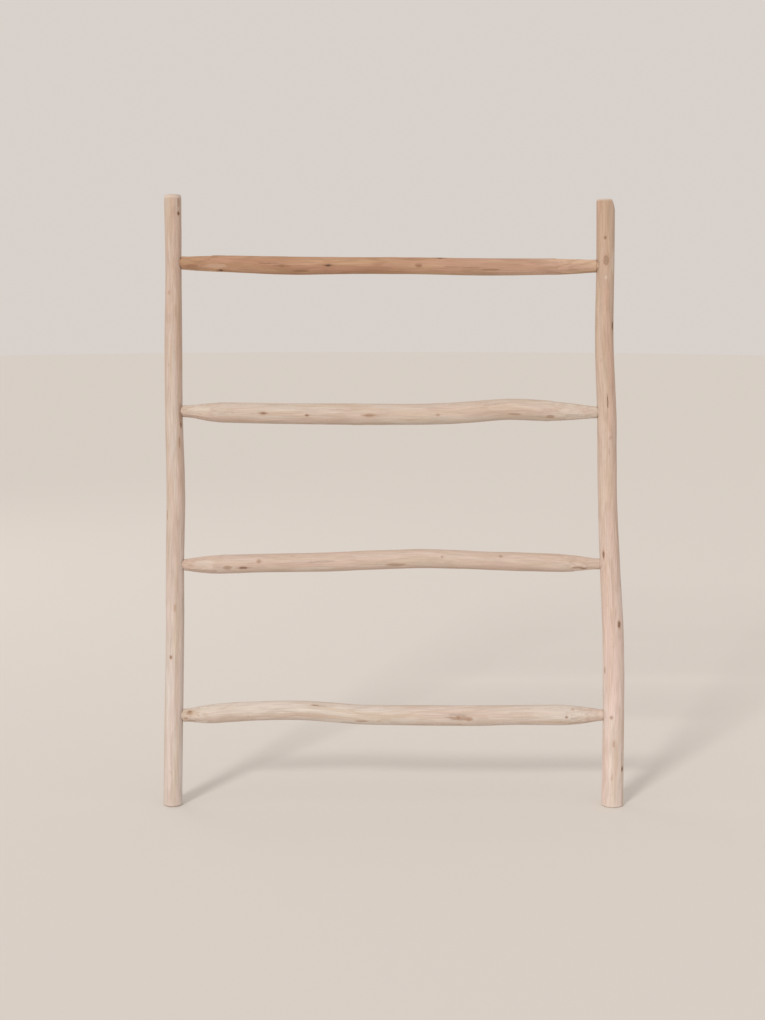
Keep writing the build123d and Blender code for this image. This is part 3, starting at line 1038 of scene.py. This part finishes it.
def makeStile(side):
    name = f"{side}_stile"
    limb = stiles[side]
    look = stileLooks[side]
    footRounding = look["footRounding"]
    tipRounding = look["tipRounding"]
    look["facets"] = [
        {"angle": math.radians(angle), "depth": depth, "from": start, "to": end, "soft": 0.05}
        for start, end, angle, depth in look["flats"]
    ]
    look["knots"] += spareKnots(look["seed"] + 7, spare["stileKnots"], *spare["stileReach"])
    inner = 0 if side == "left" else math.pi
    heights = [tenonOf(rungName, side)[0] for rungName in rungNames]
    look["mouths"] = [{"place": height, "angle": inner, "reach": fit["mortiseMouth"]} for height in heights]
    look["mouths"] += [
        {"place": height, "angle": -math.pi / 2, "reach": fit["pegMouth"]} for height in heights
    ]

    top = limb.end - tipRounding
    heights = np.linspace(0.0, top, int(top / fine["rowStep"]))
    angles = anglesRound(fine["around"])
    height, angle = np.meshgrid(heights, angles, indexing="ij")
    radius = limbRadius(limb, height, angle, look)
    bevelHeight, bevelInset = look["tipBevel"]
    radius = radius - bevelInset * np.clip(1 - (limb.end - height) / bevelHeight, 0, 1)
    # near the foot the rows tip over until the lowest is level with the floor
    footWeight = 1 - ease(height, 0.0, tipping["footReach"])
    outward = limb.at(height)[1] + radius * np.sin(angle)
    place = height + footWeight * (footRounding / math.cos(lean) - outward * math.tan(lean))
    skin = limb.shell(place, angle, radius)
    footRows = roundedEnd(skin[0], np.array([0, 0, -1.0]), footRounding, fine["capRows"])
    tipRows = roundedEnd(skin[-1], upStile, tipRounding, fine["capRows"])
    for row in tipRows[fine["rimRows"]:]:  # saw marks on the tip
        marks = softNoise(look["seed"] + 9, row @ toRight * 3, row @ toRoom * 40, 0.012, 16)
        row += upStile * (tipping["sawMarks"] * marks)[:, None]
    rows = np.array(footRows[::-1] + [*skin] + tipRows)
    offset = rows - ladderOrigin
    across = offset @ toRight - limb.at(limb.end)[0]
    if "wornCorner" in look:
        length = look["wornCorner"]["length"]
        wear = np.clip((offset @ upStile - limb.end + length) / length, 0, 1)
        uneven = softNoise(look["seed"] + 11, offset @ toRoom, across * 60, 0.006, 11)
        rough = 1 + tipping["wearRough"] * uneven
        rows = rows - upStile * (cornerDrop(look, across) * wear * rough)[..., None]
    points, faces = closeRows(rows)
    piece = newPiece(name + "_limb", points, faces)

    # mortises, then peg holes
    inward = toRight if side == "left" else -toRight
    holes = []
    for rungName in rungNames:
        _, centre, tenon = tenonOf(rungName, side)
        mouth = centre + inward * fit["drillPast"]
        bottom = centre - inward * fit["tenonEndRoom"]
        holes.append((mouth, bottom, tenon + fit["tenonRoom"]))
    bore(piece, holes, fine["mortiseSides"])
    bore(piece, pegHoles([f"{rungName}_{side}_peg" for rungName in rungNames]), fine["pegHoleSides"][1])

    def ends(place, points):
        # which points are sawn faces, and which rims are painted paler: the tip's bevelled rim as painted
        # highlight on sanded wood, and the rim just above the floor at the foot
        above = points[:, 2]
        across = (points - ladderOrigin) @ toRight - limb.at(limb.end)[0]
        below = limb.end - place - cornerDrop(look, across)
        topFace = 1 - ease(below, 0.0004, 0.0014)
        floorFace = 1 - ease(above, 0.0004, 0.0016)
        # the bevelled tip rim is painted paler: painted highlight where the bevel faces the light, on
        # sanded wood
        rim = (1 - ease(below, bevelHeight * 0.8, bevelHeight * 1.1)) * (1 - topFace)
        footRim = (1 - ease(above, 0.004, 0.012)) * (1 - floorFace) * 0.5
        return np.maximum(topFace, floorFace), np.maximum(rim, footRim)

    markSkin(piece, limb, look, ends)
    finishLimb(piece, name)


makeStile("left")
makeStile("right")


pegLook = {
    "around": 40,
    "rows": 26,
    "sides": 8,                # whittled flats round it
    "flat": 0.03,              # share of the radius that they take off
    "uneven": 0.008,
    "edge": 0.0006,            # metres of rounding at both ends
    "dome": 0.0007,            # how far the driven end swells out
    "seed": 800,
    "grainApart": 0.2,         # metres between the pegs' places in the wood
}


def makePeg(node, number, wood):
    middle, length, radius = pegLine(node)
    angles = anglesRound(pegLook["around"])
    random = np.random.default_rng(pegLook["seed"] + number)
    turned = random.uniform(0, 1)
    edge = pegLook["edge"]
    dome = pegLook["dome"]
    inner = -length / 2
    outer = length / 2
    # place along the peg, and share of its radius there
    profile = [(inner, 0.3), (inner, 0.6), (inner, 1 - edge / radius)]
    profile += [(inner + edge * 0.3, 1 - edge * 0.3 / radius)]
    profile += [(place, 1.0) for place in np.linspace(inner + edge, outer - edge, pegLook["rows"])]
    profile += [(outer - edge * 0.3, 0.97), (outer, 0.9)]
    profile += [(outer + dome * 0.4, 0.7), (outer + dome * 0.6, 0.4), (outer + dome * 0.65, 0.15)]
    rows = []
    for place, share in profile:
        around = turned + angles
        sideTurn = turnFrom(around * pegLook["sides"], 0) / pegLook["sides"]
        shape = radius * share * (1 - pegLook["flat"] * (1 - np.abs(sideTurn) * pegLook["sides"] / math.pi))
        rough = softNoise(pegLook["seed"] + 20 + number, np.full(len(angles), place), angles, 0.006, 9)
        shape = shape * (1 + pegLook["uneven"] * rough)
        row = (middle + toWall * place + np.outer(shape * np.cos(angles), toRight)
               + np.outer(shape * np.sin(angles), upStile))
        rows.append(row)
    points, faces = closeRows(np.array(rows))
    piece = newPiece(node + "_dowel", points, faces)
    offset = points - middle
    along = offset @ toWall
    place = np.c_[along + number * pegLook["grainApart"], offset @ toRight, offset @ upStile]
    zero = np.zeros(len(points))
    storeMarks(piece.data, place, {
        "knotRing": zero + 9, "knotDark": zero, "crackSide": zero + 9, "stain": zero,
        "endGrain": ease(np.abs(along), length / 2 - 0.0004, length / 2), "rimWearAndHighlight": zero,
    })
    piece.data.materials.append(wood)
    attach(piece, "root")
    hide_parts(node)


dowelWood = branchWood("dowelWood", pegWood)
pegNames = [f"{rungName}_{side}_peg" for rungName in rungNames for side in ("left", "right")]
for pegNumber, pegName in enumerate(pegNames):
    makePeg(pegName, pegNumber, dowelWood)
report("pegs")

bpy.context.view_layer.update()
report("done")
